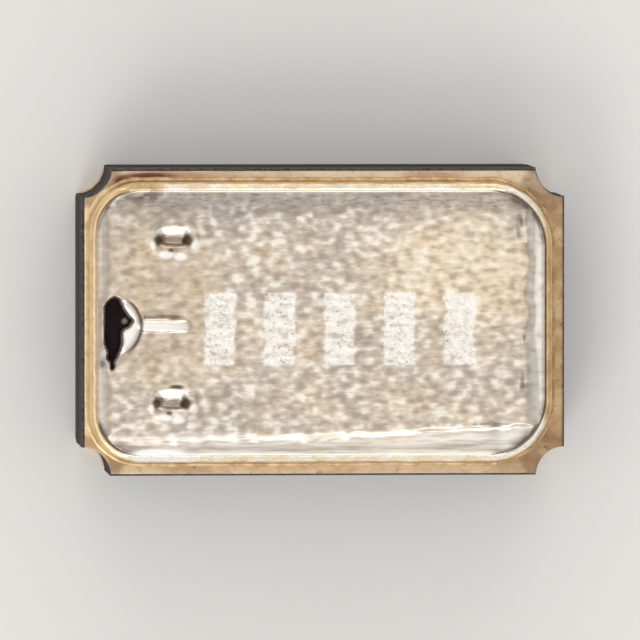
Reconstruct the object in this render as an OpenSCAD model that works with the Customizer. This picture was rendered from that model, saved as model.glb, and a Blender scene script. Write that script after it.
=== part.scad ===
// Surface-mount crystal oscillator in a seam-welded ceramic package.
// A quartz tuning fork is glued by one end to a shelf, above a flip-chip oscillator die.
// The origin is the centre of the solder plane. X runs along the package and Z points out through the lid.
// The sealed vent of the lid is at the -X end.

/* [Ceramic package] */
// Length of the package
body_l = 2.2; // [2.1:0.05:3.2]
// Width of the package
body_w = 1.4; // [1.35:0.05:2.5]
// Radius of the quarter-round castellation at each corner
castellation_r = 0.128; // [0.1:0.002:0.15]
// Thickness of the floor layer
floor_t = 0.2; // [0.12:0.01:0.4]
// Thickness of the wall around the crystal cavity
wall_t = 0.2; // [0.19:0.01:0.24]
// Corner radius of the crystal cavity
cavity_r = 0.1; // [0.05:0.01:0.11]
// Length of the shelf that carries the crystal
shelf_l = 0.42; // [0.38:0.01:0.5]
// Width of the narrow step left around the other three sides of the die pit
pit_step = 0.06; // [0.03:0.01:0.1]
// Corner radius of the die pit
pit_r = 0.06; // [0.03:0.01:0.1]

/* [Seal ring] */
// Thickness of the gold-plated metallisation on the rim
seal_t = 0.012; // [0.008:0.001:0.03]
// Bare ceramic left between the metallisation and the package's edges
seal_inset = 0.011; // [0.005:0.001:0.02]
// Distance from the package's ends to the ring
ring_end_margin = 0.048; // [0.04:0.002:0.06]
// Distance from the package's sides to the ring
ring_side_margin = 0.062; // [0.05:0.002:0.07]
// Width of the ring's band
ring_band = 0.12; // [0.1:0.005:0.125]
// Height of the ring
ring_h = 0.1; // [0.07:0.01:0.2]
// Radius of the ring's corners at the vent's end
ring_vent_r = 0.23; // [0.18:0.01:0.28]
// Radius of the ring's corners at the far end
ring_far_r = 0.29; // [0.18:0.01:0.3]
// Radius of the ring's upper outer edge
ring_edge_r = 0.024; // [0.01:0.002:0.028]
// Thickness of the braze under the ring
braze_t = 0.01; // [0.006:0.001:0.02]
// Size of the braze fillet at the ring's foot
braze_fillet = 0.024; // [0.01:0.002:0.03]
// How far the ring sits off the package's centre towards the vent
ring_offset = 0.014; // [0:0.001:0.02]

/* [Lid] */
// Thickness of the lid
lid_t = 0.08; // [0.07:0.005:0.12]
// Width of the ring that shows around the lid
lid_margin = 0.035; // [0.03:0.001:0.04]
// How far the lid sits off the ring's centre towards the vent
lid_offset = 0.006; // [0:0.001:0.01]
// Radius of the lid's corners at the vent's end
lid_vent_r = 0.2; // [0.16:0.01:0.24]
// Radius of the lid's corners at the far end
lid_far_r = 0.26; // [0.2:0.01:0.3]
// Width of the sloping tracks that the welding rollers press along the sides
side_track_w = 0.11; // [0.05:0.005:0.14]
// Width of the sloping tracks along the ends
end_track_w = 0.075; // [0.05:0.005:0.1]
// Drop of the tracks at the lid's edge
track_drop = 0.022; // [0.01:0.002:0.03]
// Distance of the punch marks' centres from the lid's vent end
mark_x = 0.345; // [0.3:0.005:0.45]
// Distance between the centres of the two punch marks
mark_pitch = 0.74; // [0.6:0.01:0.8]
// Length of a punch mark
mark_l = 0.15; // [0.1:0.005:0.18]
// Width of a punch mark
mark_w = 0.09; // [0.05:0.005:0.1]
// Depth of a punch mark
mark_d = 0.03; // [0.02:0.002:0.04]
// Width of the raised lip round a punch mark
lip_w = 0.03; // [0.02:0.002:0.04]
// Height of the raised lip round a punch mark
lip_h = 0.009; // [0.005:0.001:0.014]

/* [Vent] */
// Radius of the melted crater that seals the vent
vent_r = 0.14; // [0.12:0.005:0.16]
// Width of the lid left between the crater and the lid's edge
vent_edge = 0.03; // [0.02:0.002:0.04]
// Depth of the crater
vent_d = 0.055; // [0.03:0.005:0.06]
// Run of the crater's sloping wall, from top to bottom
vent_slope = 0.03; // [0.01:0.005:0.05]
// Radius of the bead of melted metal round the crater
bead_r = 0.028; // [0.02:0.002:0.03]
// Height of that bead above the lid
bead_h = 0.014; // [0.006:0.001:0.016]
// Length of the vent groove in the lid's underside, past the crater
groove_l = 0.22; // [0.15:0.01:0.4]
// Width of the vent groove
groove_w = 0.05; // [0.03:0.005:0.07]
// Depth of the vent groove
groove_d = 0.02; // [0.01:0.002:0.03]
// Width of the rib that the groove's stamping raises on top
rib_w = 0.072; // [0.05:0.002:0.09]
// Height of that rib
rib_h = 0.013; // [0.008:0.001:0.018]

/* [Terminals] */
// Thickness of a solder terminal
terminal_t = 0.015; // [0.01:0.001:0.03]
// Length of a solder terminal
terminal_l = 0.55; // [0.5:0.01:0.6]
// Width of a solder terminal
terminal_w = 0.45; // [0.42:0.01:0.5]
// Bare ceramic left between a terminal and the package's edges
terminal_inset = 0.02; // [0.01:0.005:0.04]
// Height of the plating in each castellation
plating_h = 0.1; // [0.06:0.01:0.3]
// Thickness of the plating in each castellation
plating_t = 0.012; // [0.008:0.001:0.02]
// Chamfer that marks the first terminal
index_chamfer = 0.12; // [0.08:0.01:0.15]

/* [Inner conductors] */
// Radius of a filled via
via_r = 0.04; // [0.03:0.002:0.045]
// Distance of a terminal's via from the terminal's inner edges
via_inset = 0.115; // [0.1:0.005:0.13]
// Width of a trace
trace_w = 0.05; // [0.03:0.005:0.055]
// Thickness of the traces, die lands and crystal pads
trace_t = 0.008; // [0.005:0.001:0.012]
// Gap between the two crystal pads
crystal_pad_gap = 0.2; // [0.18:0.01:0.22]
// Bare ceramic left between a crystal pad and the cavity's walls
crystal_pad_inset = 0.02; // [0.01:0.005:0.03]

/* [Oscillator die] */
// Length of the die
die_l = 0.78; // [0.65:0.01:0.9]
// Width of the die
die_w = 0.6; // [0.56:0.01:0.66]
// Thickness of the die
die_t = 0.12; // [0.08:0.01:0.2]
// Distance from the shelf to the die
die_gap = 0.12; // [0.08:0.01:0.16]
// Height left between the die and the level of the shelf
die_headroom = 0.04; // [0.02:0.01:0.1]
// Distance of the outer die lands' centres from the die's edges
land_inset = 0.08; // [0.06:0.005:0.085]
// Side of a square die land
land_w = 0.075; // [0.065:0.005:0.085]
// Radius of a gold bump at its middle
bump_r = 0.032; // [0.024:0.002:0.034]
// Height of a gold bump
bump_h = 0.022; // [0.015:0.001:0.03]

/* [Tuning fork] */
// Thickness of the quartz wafer
fork_t = 0.1; // [0.08:0.005:0.13]
// Height left between the wafer and the level of the rim
fork_headroom = 0.11; // [0.06:0.01:0.2]
// Gap between the cavity's end wall and the mounting block
block_gap = 0.06; // [0.04:0.005:0.08]
// Length of the mounting block
block_l = 0.2; // [0.18:0.01:0.24]
// Gap between the cavity's side walls and the mounting block
block_side_gap = 0.1; // [0.06:0.01:0.12]
// Corner radius of the mounting block
block_r = 0.03; // [0.01:0.005:0.04]
// Length of the neck that isolates the fork from its mounting
neck_l = 0.09; // [0.05:0.01:0.12]
// Width of the neck
neck_w = 0.18; // [0.176:0.002:0.22]
// Length of the fork's base
base_l = 0.22; // [0.15:0.01:0.26]
// Gap between the arms' tips and the cavity's end wall
tip_gap = 0.14; // [0.08:0.01:0.2]
// Width of an arm
arm_w = 0.06; // [0.05:0.002:0.064]
// Gap between the arms
arm_gap = 0.08; // [0.076:0.002:0.09]
// Length of the widened head of an arm
head_l = 0.3; // [0.2:0.01:0.36]
// How far a head stands out on each side of its arm
head_side = 0.02; // [0.01:0.002:0.028]
// Length over which an arm widens into the base
root_l = 0.08; // [0.04:0.005:0.1]
// How far an arm's root widens on its outer side
root_side = 0.02; // [0.01:0.002:0.03]
// Length of plain arm between its groove and its head
groove_to_head = 0.14; // [0.06:0.01:0.2]
// Width of the groove in an arm
arm_groove_w = 0.034; // [0.024:0.002:0.04]
// Depth of the groove in an arm
arm_groove_d = 0.034; // [0.015:0.001:0.036]
// Height of an adhesive dot
glue_h = 0.03; // [0.02:0.002:0.04]
// Radius of an adhesive dot at its middle
glue_r = 0.085; // [0.06:0.005:0.09]

/* [Electrodes] */
// Thickness of the electrode film
film_t = 0.003; // [0.002:0.001:0.005]
// Bare quartz left between a film and an edge that it doesn't cross
film_edge = 0.01; // [0.005:0.001:0.015]
// Width of an electrode lead
lead_w = 0.032; // [0.02:0.002:0.034]
// Thickness of the tuning weight on each head
weight_t = 0.005; // [0.003:0.001:0.01]

/* [Hidden] */
// Facets round a circle, and round the circles of the smallest features
$fn = 48;
small_fn = 20;
// How far a cutting tool reaches past the face that it opens
over = 0.05;

// Levels, from the solder plane upwards
package_z = terminal_t;
floor_z = package_z + floor_t;
die_z = floor_z + trace_t + bump_h;
shelf_z = die_z + die_t + die_headroom;
fork_z = shelf_z + trace_t + glue_h + film_t;
fork_mid_z = fork_z + fork_t / 2;
rim_z = fork_z + fork_t + fork_headroom;
seal_z = rim_z + seal_t;
ring_z = seal_z + braze_t;
lid_z = ring_z + ring_h;

// Outlines that follow the package
cavity_l = body_l - 2 * wall_t;
cavity_w = body_w - 2 * wall_t;
cavity_end = cavity_l / 2;
ring_l = body_l - 2 * ring_end_margin;
ring_w = body_w - 2 * ring_side_margin;
ring_radii = [ring_vent_r, ring_far_r];
lid_l = ring_l - 2 * lid_margin;
lid_w = ring_w - 2 * lid_margin;

// Die pit, die and the terminals' vias
pit_x0 = -cavity_end + shelf_l;
pit_x1 = cavity_end - pit_step;
pit_w = cavity_w - 2 * pit_step;
die_x = pit_x0 + die_gap + die_l / 2;
land_dx = die_l / 2 - land_inset;
land_y = die_w / 2 - land_inset;
terminal_x = body_l / 2 - terminal_inset;
terminal_y = body_w / 2 - terminal_inset;
via_x = terminal_x - terminal_l + via_inset;
via_y = terminal_y - terminal_w + via_inset;

// Lid details, measured from the lid's own centre
vent_x = -lid_l / 2 + vent_edge;
rib_x = vent_x + vent_r;
punch_x = -lid_l / 2 + mark_x;

// Tuning fork, from its mounting block at -X to the tips of its arms
block_x = -cavity_end + block_gap;
block_w = cavity_w - 2 * block_side_gap;
base_x = block_x + block_l + neck_l;
arm_x = base_x + base_l;
tip_x = cavity_end - tip_gap;
head_x = tip_x - head_l;
arm_y = (arm_gap + arm_w) / 2;
arm_side_y = arm_gap / 2 + arm_w;
root_y = arm_side_y + root_side;
groove_end_x = head_x - groove_to_head;

// Mounting of the fork
glue_x = block_x + block_l / 2;
crystal_pad_l = 2 * (glue_x + cavity_end - crystal_pad_inset);
crystal_pad_w = cavity_w / 2 - crystal_pad_inset - crystal_pad_gap / 2;
glue_y = (crystal_pad_gap + crystal_pad_w) / 2;
crystal_via_x = glue_x + crystal_pad_l / 4;
crystal_via_y = crystal_pad_gap / 2 + via_r;

module box_between(low, high) {
    translate(low) cube(high - low);
}

// Rounded rectangle with true arcs
module rounded_rect(l, w, r) {
    square([l - 2 * r, w], center = true);
    square([l, w - 2 * r], center = true);
    for (x = [-1, 1], y = [-1, 1])
        translate([x * (l / 2 - r), y * (w / 2 - r)]) circle(r);
}

// Rounded rectangle whose corners have one radius at its -X end and another at its +X end
module two_radius_rect(l, w, radii) {
    translate([(radii[0] - radii[1]) / 2, 0]) square([l - radii[0] - radii[1], w], center = true);
    for (end = [0, 1]) translate([(2 * end - 1) * (l / 2 - radii[end]), 0]) {
        square([2 * radii[end], w - 2 * radii[end]], center = true);
        for (y = [-1, 1]) translate([0, y * (w / 2 - radii[end])]) circle(radii[end]);
    }
}

// Sweeps a profile round such a rectangle. The profile's X runs outwards from the outline.
module swept_frame(l, w, radii) {
    for (side = [0 : 3]) {
        across = side % 2 == 0 ? l : w;
        along = side % 2 == 0 ? w : l;
        before = radii[side < 2 ? 1 : 0];
        after = radii[side % 3 == 0 ? 1 : 0];
        rotate(90 * side) {
            translate([across / 2, (before - after) / 2, 0])
                rotate([90, 0, 0]) linear_extrude(along - before - after, center = true) children();
            translate([across / 2 - after, along / 2 - after, 0])
                rotate_extrude(angle = 90) translate([after, 0]) children();
        }
    }
}

// Flattened drop with a half-round side, standing on z = 0
module flattened_drop(r, h) {
    rotate_extrude($fn = small_fn) {
        square([r - h / 2, h]);
        intersection() {
            translate([r - h / 2, h / 2]) circle(h / 2, $fn = small_fn);
            square([r, h]);
        }
    }
}

// Outline of the package with its four castellations, drawn in by an inset
module package_outline(inset = 0) {
    difference() {
        square([body_l - 2 * inset, body_w - 2 * inset], center = true);
        for (x = [-1, 1], y = [-1, 1])
            translate([x * body_l / 2, y * body_w / 2]) circle(castellation_r + inset);
    }
}

module ceramic_base() {
    color("dimgray") difference() {
        translate([0, 0, package_z]) linear_extrude(rim_z - package_z) package_outline();
        translate([0, 0, shelf_z])
            linear_extrude(rim_z - shelf_z + over) rounded_rect(cavity_l, cavity_w, cavity_r);
        translate([(pit_x0 + pit_x1) / 2, 0, floor_z])
            linear_extrude(shelf_z - floor_z + over) rounded_rect(pit_x1 - pit_x0, pit_w, pit_r);
        for (x = [-1, 1], y = [-1, 1]) {
            terminal_conductor(x, y);
            castellation_film(x, y);
        }
        for (y = [-1, 1]) crystal_conductor(y);
    }
}

module seal_metallisation() {
    color("gold") translate([0, 0, rim_z]) linear_extrude(seal_t) difference() {
        package_outline(seal_inset);
        rounded_rect(cavity_l + 2 * seal_inset, cavity_w + 2 * seal_inset, cavity_r + seal_inset);
    }
}

// Braze layer under the ring, with a concave fillet outside the ring's foot
module braze_profile() {
    translate([-ring_band, 0]) square([ring_band, braze_t]);
    difference() {
        square(braze_fillet);
        translate([braze_fillet, braze_fillet]) circle(braze_fillet);
    }
}

// The braze wets the metallisation and stops at its edge
module ring_braze() {
    color("khaki") intersection() {
        translate([-ring_offset, 0, seal_z]) swept_frame(ring_l, ring_w, ring_radii) braze_profile();
        translate([0, 0, seal_z]) linear_extrude(braze_fillet + over) package_outline(seal_inset);
    }
}

module ring_profile() {
    translate([-ring_band, 0]) square([ring_band - ring_edge_r, ring_h]);
    translate([-ring_band, 0]) square([ring_band, ring_h - ring_edge_r]);
    translate([-ring_edge_r, ring_h - ring_edge_r]) circle(ring_edge_r);
}

module seal_ring() {
    color("goldenrod") translate([-ring_offset, 0, ring_z])
        swept_frame(ring_l, ring_w, ring_radii) ring_profile();
}

// Section of the lid across a width, with a sloping track along each edge
function track_section(w, track_w) =
    let (edge_t = lid_t - track_drop, flat = w / 2 - track_w)
    [[-w / 2, 0], [w / 2, 0], [w / 2, edge_t], [flat, lid_t], [-flat, lid_t], [-w / 2, edge_t]];

// Plate on which the welding rollers ran along the sides and along the ends
module lid_plate() {
    intersection() {
        linear_extrude(lid_t) two_radius_rect(lid_l, lid_w, [lid_vent_r, lid_far_r]);
        rotate([90, 0, 0]) linear_extrude(lid_w, center = true) polygon(track_section(lid_l, end_track_w));
        rotate([90, 0, 90]) linear_extrude(lid_l, center = true) polygon(track_section(lid_w, side_track_w));
    }
}

// Half-round crater with its straight side towards the lid's edge
module vent_crater() {
    intersection() {
        translate([vent_x, 0, lid_t - vent_d]) {
            cylinder(r1 = vent_r - vent_slope, r2 = vent_r, h = vent_d);
            translate([0, 0, vent_d]) cylinder(r = vent_r, h = over);
        }
        box_between([vent_x, -vent_r, 0], [vent_x + vent_r, vent_r, lid_t + over]);
    }
}

// Bead of melted metal along the crater's round side
module vent_bead() {
    translate([vent_x, 0, lid_t + bead_h - bead_r]) rotate(-90)
        rotate_extrude(angle = 180) translate([vent_r, 0]) circle(bead_r, $fn = small_fn);
}

// Ridge along X that stands on z = 0, with flanks at 45 degrees and a round end
module ridge(length, w, h) {
    rotate([90, 0, 90]) linear_extrude(length)
        polygon([[-w / 2, 0], [w / 2, 0], [w / 2 - h, h], [h - w / 2, h]]);
    translate([length, 0, 0]) cylinder(r1 = w / 2, r2 = w / 2 - h, h = h);
}

// Section of a punch mark's pit across a width, with walls that slope in below the lid's top
function pit_section(w) =
    let (slope = mark_d / 2, top = w / 2, bottom = top - slope)
    [[-top, over], [-top, 0], [-bottom, -mark_d], [bottom, -mark_d], [top, 0], [top, over]];

module mark_pit() {
    intersection() {
        rotate([90, 0, 0]) linear_extrude(mark_w, center = true) polygon(pit_section(mark_l));
        rotate([90, 0, 90]) linear_extrude(mark_l, center = true) polygon(pit_section(mark_w));
    }
}

module mark_lip() {
    swept_frame(mark_l + lip_w, mark_w + lip_w, [lip_w, lip_w])
        polygon([[-lip_w / 2, 0], [lip_w / 2, 0], [lip_w / 4, lip_h], [-lip_w / 4, lip_h]]);
}

module punch_mark_places() {
    for (y = [-1, 1]) translate([punch_x, y * mark_pitch / 2, lid_t]) children();
}

module lid() {
    color("silver") translate([-ring_offset - lid_offset, 0, lid_z]) {
        difference() {
            union() {
                lid_plate();
                punch_mark_places() mark_lip();
            }
            vent_crater();
            translate([rib_x + bead_r, 0, 0]) ridge(groove_l - bead_r, groove_w, groove_d);
            punch_mark_places() mark_pit();
        }
        vent_bead();
        translate([rib_x, 0, lid_t]) ridge(groove_l, rib_w, rib_h);
    }
}

// Plating let into a castellation's wall, which stops short of the package's side faces
module castellation_film(x, y) {
    middle = terminal_inset + castellation_r / 2;
    translate([x * body_l / 2, y * body_w / 2, 0]) linear_extrude(plating_h) intersection() {
        difference() {
            circle(castellation_r + plating_t);
            circle(castellation_r);
        }
        translate([-x * middle, -y * middle]) square(castellation_r, center = true);
    }
}

// Solder terminal in the corner given by the signs x and y, with the plating in its castellation
module terminal(x, y, chamfer = 0) {
    color("gold") {
        linear_extrude(terminal_t) difference() {
            translate([x * (terminal_x - terminal_l / 2), y * (terminal_y - terminal_w / 2)])
                square([terminal_l, terminal_w], center = true);
            translate([x * body_l / 2, y * body_w / 2]) circle(castellation_r);
            if (chamfer > 0)
                translate([x * (terminal_x - terminal_l), y * (terminal_y - terminal_w)])
                    rotate(45) square(chamfer * sqrt(2), center = true);
        }
        castellation_film(x, y);
    }
}

module via(x, y, z0, z1) {
    translate([x, y, z0]) cylinder(r = via_r, h = z1 - z0);
}

// Straight trace on the floor between two points of one row or column
module trace(x0, y0, x1, y1) {
    half = trace_w / 2;
    box_between([min(x0, x1) - half, min(y0, y1) - half, floor_z],
                [max(x0, x1) + half, max(y0, y1) + half, floor_z + trace_t]);
}

module die_land(column, side) {
    translate([die_x + column * land_dx, side * land_y, floor_z + trace_t / 2])
        cube([land_w, land_w, trace_t], center = true);
}

// Via, trace and land that join the die to the terminal in the corner given by the signs x and y
module terminal_conductor(x, y) {
    land_x = die_x + x * land_dx;
    color("silver") {
        via(x * via_x, y * via_y, package_z, floor_z + trace_t);
        trace(x * via_x, y * via_y, land_x, y * via_y);
        trace(land_x, y * via_y, land_x, y * land_y);
        die_land(x, y);
    }
}

// Land, trace and via that join the die to the crystal pad on the side given by the sign y
module crystal_conductor(y) {
    color("silver") {
        die_land(0, y);
        trace(die_x, y * land_y, die_x, y * crystal_via_y);
        trace(die_x, y * crystal_via_y, crystal_via_x, y * crystal_via_y);
        via(crystal_via_x, y * crystal_via_y, floor_z, shelf_z);
    }
}

// Pad on the shelf, whose corners keep the same distance from the cavity's corners as its sides do
module crystal_pad(y) {
    color("gold") translate([glue_x, y * glue_y, shelf_z])
        linear_extrude(trace_t) rounded_rect(crystal_pad_l, crystal_pad_w, cavity_r - crystal_pad_inset);
}

module adhesive_dot(y) {
    color("lightgray") translate([glue_x, y * glue_y, shelf_z + trace_t]) flattened_drop(glue_r, glue_h);
}

// Arm with its widened root and head, on the side given by the sign y
module fork_arm(y) {
    mirror([0, y < 0 ? 1 : 0]) {
        translate([arm_x, arm_gap / 2]) square([tip_x - arm_x, arm_w]);
        translate([head_x, arm_gap / 2 - head_side]) square([head_l, arm_w + 2 * head_side]);
        polygon([[arm_x, arm_y], [arm_x + root_l, arm_y], [arm_x + root_l, arm_side_y], [arm_x, root_y]]);
    }
}

module fork_outline() {
    translate([glue_x, 0]) rounded_rect(block_l, block_w, block_r);
    translate([glue_x, -neck_w / 2]) square([base_x - glue_x, neck_w]);
    translate([base_x, -root_y]) square([base_l, 2 * root_y]);
    for (y = [-1, 1]) fork_arm(y);
}

// Grooves along both faces of each arm, which bring the electric field into the quartz
module arm_grooves() {
    for (y = [-1, 1], face = [0, 1])
        mirror([0, 0, face])
            box_between([arm_x, y * arm_y - arm_groove_w / 2, fork_t / 2 - arm_groove_d],
                        [groove_end_x, y * arm_y + arm_groove_w / 2, fork_t / 2 + over]);
}

module tuning_fork() {
    color("aliceblue") translate([0, 0, fork_mid_z]) difference() {
        linear_extrude(fork_t, center = true) fork_outline();
        arm_grooves();
    }
}

// Film on one face: in the groove of the arm at -Y, back along the base, and on the block
module face_film() {
    top = fork_t / 2;
    bottom = top - arm_groove_d;
    half_groove = arm_groove_w / 2;
    half_lead = lead_w / 2;
    box_between([arm_x, -arm_y - half_groove, bottom], [groove_end_x, -arm_y + half_groove, bottom + film_t]);
    box_between([arm_x, -arm_y - half_groove, bottom], [arm_x + film_t, -arm_y + half_groove, top + film_t]);
    box_between([glue_x, -arm_y - half_lead, top], [arm_x + film_t, -arm_y + half_lead, top + film_t]);
    box_between([block_x + block_r, -block_w / 2, top],
                [block_x + block_l - block_r, -arm_y + half_lead, top + film_t]);
}

// Film on the sides of the arm at +Y, fed across the upper face and through the crotch
module side_film() {
    top = fork_t / 2;
    inner = arm_gap / 2;
    low = film_edge - top;
    strap_x = groove_end_x + film_edge;
    end_x = strap_x + lead_w;
    box_between([arm_x - lead_w, -arm_y, top], [arm_x, inner, top + film_t]);
    box_between([arm_x, inner - lead_w, low], [arm_x + film_t, inner, top + film_t]);
    box_between([arm_x, inner - film_t, low], [end_x, inner, top]);
    box_between([strap_x, inner - film_t, top], [end_x, arm_side_y + film_t, top + film_t]);
    box_between([arm_x + root_l, arm_side_y, low], [end_x, arm_side_y + film_t, top]);
}

// Electrode of one polarity. The other is this one after half a turn about the fork's long axis.
module electrode() {
    for (face = [0, 1]) mirror([0, 0, face]) face_film();
    side_film();
    box_between([block_x + block_r, -block_w / 2 - film_t, -fork_t / 2 - film_t],
                [block_x + block_l - block_r, -block_w / 2, fork_t / 2 + film_t]);
}

module fork_electrode(side) {
    color("gold") translate([0, 0, fork_mid_z]) rotate([side > 0 ? 180 : 0, 0, 0]) electrode();
}

module tuning_weight(y) {
    half = arm_w / 2 + head_side - film_edge;
    color("gold") translate([0, y * arm_y, fork_z + fork_t])
        box_between([head_x + film_edge, -half, 0], [tip_x - film_edge, half, weight_t]);
}

module oscillator_die() {
    color("slategray") translate([die_x, 0, die_z + die_t / 2]) cube([die_l, die_w, die_t], center = true);
}

module die_bumps() {
    color("gold") for (column = [-1 : 1], y = [-1, 1])
        translate([die_x + column * land_dx, y * land_y, floor_z + trace_t]) flattened_drop(bump_r, bump_h);
}

ceramic_base();
seal_metallisation();
ring_braze();
seal_ring();
lid();
terminal(-1, -1, index_chamfer);  // terminal_enable
terminal(1, -1);  // terminal_ground
terminal(1, 1);  // terminal_output
terminal(-1, 1);  // terminal_supply
terminal_conductor(-1, -1);  // conductor_enable
terminal_conductor(1, -1);  // conductor_ground
terminal_conductor(1, 1);  // conductor_output
terminal_conductor(-1, 1);  // conductor_supply
crystal_conductor(-1);  // crystal_conductor_1
crystal_conductor(1);  // crystal_conductor_2
crystal_pad(-1);  // crystal_pad_1
crystal_pad(1);  // crystal_pad_2
adhesive_dot(-1);  // adhesive_dot_1
adhesive_dot(1);  // adhesive_dot_2
tuning_fork();
fork_electrode(-1);  // fork_electrode_1
fork_electrode(1);  // fork_electrode_2
tuning_weight(-1);  // tuning_weight_1
tuning_weight(1);  // tuning_weight_2
oscillator_die();
die_bumps();
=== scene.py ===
import math

import bmesh
import bpy
import numpy as np
from mathutils import Matrix, Vector


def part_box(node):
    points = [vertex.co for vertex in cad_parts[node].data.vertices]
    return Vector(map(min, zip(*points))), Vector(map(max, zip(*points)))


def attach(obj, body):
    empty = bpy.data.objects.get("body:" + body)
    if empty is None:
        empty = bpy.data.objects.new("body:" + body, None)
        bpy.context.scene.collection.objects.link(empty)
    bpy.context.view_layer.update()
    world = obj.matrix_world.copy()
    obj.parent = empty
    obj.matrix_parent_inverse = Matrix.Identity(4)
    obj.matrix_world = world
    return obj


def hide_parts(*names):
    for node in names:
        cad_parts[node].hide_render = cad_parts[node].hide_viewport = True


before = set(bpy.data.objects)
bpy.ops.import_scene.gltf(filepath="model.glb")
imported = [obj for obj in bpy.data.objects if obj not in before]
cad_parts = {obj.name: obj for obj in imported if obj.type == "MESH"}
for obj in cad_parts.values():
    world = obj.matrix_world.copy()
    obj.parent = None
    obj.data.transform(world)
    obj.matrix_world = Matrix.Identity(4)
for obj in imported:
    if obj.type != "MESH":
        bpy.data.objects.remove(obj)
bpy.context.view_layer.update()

# Lengths below are in millimetres
MM = 0.001
MICRON = 1e-6


def node_box(node):
    """Lowest and highest corner of a node's solid."""
    low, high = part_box(node)
    return np.array(low) / MM, np.array(high) / MM


# Places taken from the frame
body_low, body_high = node_box("ceramic_base")
gold_low, gold_high = node_box("seal_metallisation")
braze_low, braze_high = node_box("ring_braze")
ring_low, ring_high = node_box("seal_ring")
lid_low, lid_high = node_box("lid")
shelf_z = node_box("crystal_pad_1")[0][2]
floor_z = node_box("crystal_conductor_1")[0][2]
body_size = 2 * body_high[:2]
rim_z = body_high[2]
ring_centre = (ring_low[:2] + ring_high[:2]) / 2
ring_size = (ring_high - ring_low)[:2]
lid_centre = (lid_low[:2] + lid_high[:2]) / 2
lid_l, lid_w = (lid_high - lid_low)[:2]
seal_inset = body_high[0] - gold_high[0]
braze_rise = braze_high[2] - braze_low[2]

# Sizes that a box can't give
castellation_r = 0.128
film_t = 0.012
wall_t = 0.2
cavity_r = 0.1
pit_low_x, pit_high_x = -0.48, 0.84
pit_w, pit_r = 0.88, 0.06
ring_band, ring_edge_r, lid_t = 0.12, 0.024, 0.08
ring_radii = np.array([0.23, 0.29])
lid_radii = np.array([0.2, 0.26])
lid_margin = (ring_size[0] - lid_l) / 2


# Mesh tools

ARC_STEPS = 20
LONG_STEPS, SHORT_STEPS = 190, 110
FIELD_SIZE = 128
FIELD_SHIFT = (51.3, 37.7)


def eased(t):
    """Soft step from 0 to 1."""
    t = np.clip(t, 0, 1)
    return t * t * (3 - 2 * t)


def wander(x, y, cell, seed):
    """Smooth random field from -1 to 1. One bump is about a cell wide; the cell may differ in x and y."""
    cell_x, cell_y = np.broadcast_to(cell, 2)
    table = np.random.default_rng(seed).uniform(-1, 1, (FIELD_SIZE, FIELD_SIZE))
    u, v = np.asarray(x) / cell_x + FIELD_SHIFT[0], np.asarray(y) / cell_y + FIELD_SHIFT[1]
    i, j = np.floor(u).astype(int), np.floor(v).astype(int)
    u, v = eased(u - i), eased(v - j)
    i, next_i, j, next_j = (k % FIELD_SIZE for k in (i, i + 1, j, j + 1))
    near = table[i, j] * (1 - u) + table[next_i, j] * u
    far = table[i, next_j] * (1 - u) + table[next_i, next_j] * u
    return near * (1 - v) + far * v


def corner_loop(size, centre, corner):
    """Closed loop round a rectangle. corner(quarter) gives the points and normals of one corner's curve."""
    points, normals = [], []
    for quarter in range(4):
        turn = math.radians(90 * quarter)
        ahead = np.array([[math.cos(turn), math.sin(turn)], [-math.sin(turn), math.cos(turn)]])
        half = np.array(size if quarter % 2 == 0 else size[::-1]) / 2
        arc, arc_normals = corner(quarter)
        start = (half + arc) @ ahead
        points.append(start)
        normals.append(arc_normals @ ahead)
        steps = LONG_STEPS if quarter % 2 == 0 else SHORT_STEPS
        next_half = half[::-1]
        quarter_on = ahead @ np.array([[0, 1], [-1, 0]])
        end = (next_half + corner((quarter + 1) % 4)[0][0]) @ quarter_on
        t = np.linspace(0, 1, steps + 1)[1:-1, None]
        points.append(start[-1] * (1 - t) + end * t)
        normals.append(np.broadcast_to(arc_normals[-1] @ ahead, (steps - 1, 2)))
    return np.vstack(points) + centre, np.vstack(normals)


def rounded_loop(size, radii, centre=(0, 0)):
    """Loop with rounded corners. Two radii are those of the vent's end and of the far end."""
    vent_r, far_r = np.broadcast_to(radii, 2)

    def corner(quarter):
        radius = far_r if quarter in (0, 3) else vent_r
        angle = np.radians(np.linspace(0, 90, ARC_STEPS + 1))
        normals = np.stack([np.cos(angle), np.sin(angle)], 1)
        return radius * (normals - 1), normals
    return corner_loop(size, centre, corner)


def package_loop(inset, recess=0):
    """Outline of the package with its four castellations, drawn in by an inset. A recess widens those."""
    def corner(quarter):
        radius = castellation_r + inset + recess
        low = math.degrees(math.asin(inset / radius))
        angle = np.radians(np.linspace(270 - low, 180 + low, ARC_STEPS + 1))
        around = np.stack([np.cos(angle), np.sin(angle)], 1)
        return radius * around + inset, -around
    return corner_loop(body_size - 2 * inset, (0, 0), corner)


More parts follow.
